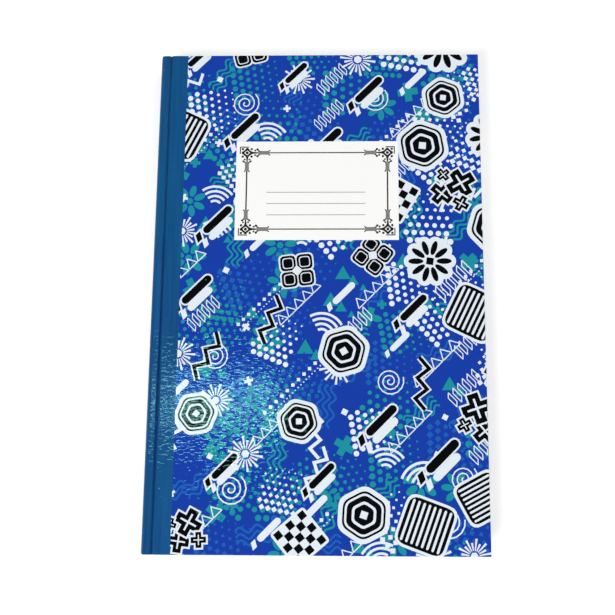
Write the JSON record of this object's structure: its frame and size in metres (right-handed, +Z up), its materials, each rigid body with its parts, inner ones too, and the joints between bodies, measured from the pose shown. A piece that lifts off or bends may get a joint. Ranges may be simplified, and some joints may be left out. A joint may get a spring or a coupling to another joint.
{
  "type": "hardcover notebook",
  "caption": "Tall quarter-bound hardcover notebook with a taped spine, hinge grooves, a title label and sewn sections that open in the middle.",
  "frame": {"origin": "middle of the back cover's outer face, which the closed book lies on", "axes": "+X from the spine to the fore edge, +Y from the tail to the head, +Z up out of the front cover"},
  "size_m": [0.216, 0.33, 0.0141],
  "materials": {
    "board": "matte",
    "tape": "satin",
    "printed_paper": "gloss",
    "label": "satin",
    "endpaper": "matte",
    "leaves": "matte",
    "lining": "matte",
    "glue": "satin"
  },
  "bodies": {
    "book_block": {"spine_tape": "tape", "front_hinge_strip": "board", "back_hinge_strip": "board", "spine_lining": "lining", "spine_glue": "glue", "front_endpaper_fold": "endpaper", "back_endpaper_fold": "endpaper", "section_1_fold": "leaves", "section_2_fold": "leaves", "section_3_fold": "leaves", "section_4_fold": "leaves", "section_5": "leaves", "section_6": "leaves", "section_7": "leaves", "section_8": "leaves"},
    "front_cover": {"front_board": "board", "front_cover_tape": "tape", "front_cover_paper": "printed_paper", "front_pastedown": "endpaper", "label": "label"},
    "back_cover": {"back_board": "board", "back_cover_tape": "tape", "back_cover_paper": "printed_paper", "back_pastedown": "endpaper"},
    "front_flyleaf": {"front_flyleaf": "endpaper"},
    "back_flyleaf": {"back_flyleaf": "endpaper"},
    "section_1_leaves": {"section_1_leaves": "leaves"},
    "section_2_leaves": {"section_2_leaves": "leaves"},
    "section_3_leaves": {"section_3_leaves": "leaves"},
    "section_4_leaves": {"section_4_leaves": "leaves"}
  },
  "joints": [
    {"name": "front_cover_hinge", "type": "hinge", "parent": "book_block", "child": "front_cover", "pos_m": [-0.1011, 0, 0.01405], "axis": [0, -1, 0], "range_deg": [0, 180]},
    {"name": "back_cover_hinge", "type": "hinge", "parent": "book_block", "child": "back_cover", "pos_m": [-0.1011, 0, -0.0001], "axis": [0, 1, 0], "range_deg": [0, 180]},
    {"name": "front_flyleaf_turn", "type": "hinge", "parent": "book_block", "child": "front_flyleaf", "pos_m": [-0.1011, 0, 0.01405], "axis": [0, -1, 0], "range_deg": [0, 179]},
    {"name": "section_1_turn", "type": "hinge", "parent": "book_block", "child": "section_1_leaves", "pos_m": [-0.1011, 0, 0.01405], "axis": [0, -1, 0], "range_deg": [0, 177]},
    {"name": "section_2_turn", "type": "hinge", "parent": "book_block", "child": "section_2_leaves", "pos_m": [-0.1011, 0, 0.01405], "axis": [0, -1, 0], "range_deg": [0, 175]},
    {"name": "section_3_turn", "type": "hinge", "parent": "book_block", "child": "section_3_leaves", "pos_m": [-0.1011, 0, 0.01405], "axis": [0, -1, 0], "range_deg": [0, 173]},
    {"name": "section_4_turn", "type": "hinge", "parent": "book_block", "child": "section_4_leaves", "pos_m": [-0.1011, 0, 0.01405], "axis": [0, -1, 0], "range_deg": [0, 172]},
    {"name": "back_flyleaf_turn", "type": "hinge", "parent": "book_block", "child": "back_flyleaf", "pos_m": [-0.1011, 0, -0.0001], "axis": [0, 1, 0], "range_deg": [0, 179]}
  ],
  "couplings": [
    {"joint": "front_flyleaf_turn", "follows": "front_cover_hinge", "ratio": 0.99},
    {"joint": "section_1_turn", "follows": "front_cover_hinge", "ratio": 0.98},
    {"joint": "section_2_turn", "follows": "front_cover_hinge", "ratio": 0.97},
    {"joint": "section_3_turn", "follows": "front_cover_hinge", "ratio": 0.96},
    {"joint": "section_4_turn", "follows": "front_cover_hinge", "ratio": 0.95},
    {"joint": "back_flyleaf_turn", "follows": "back_cover_hinge", "ratio": 0.99}
  ]
}
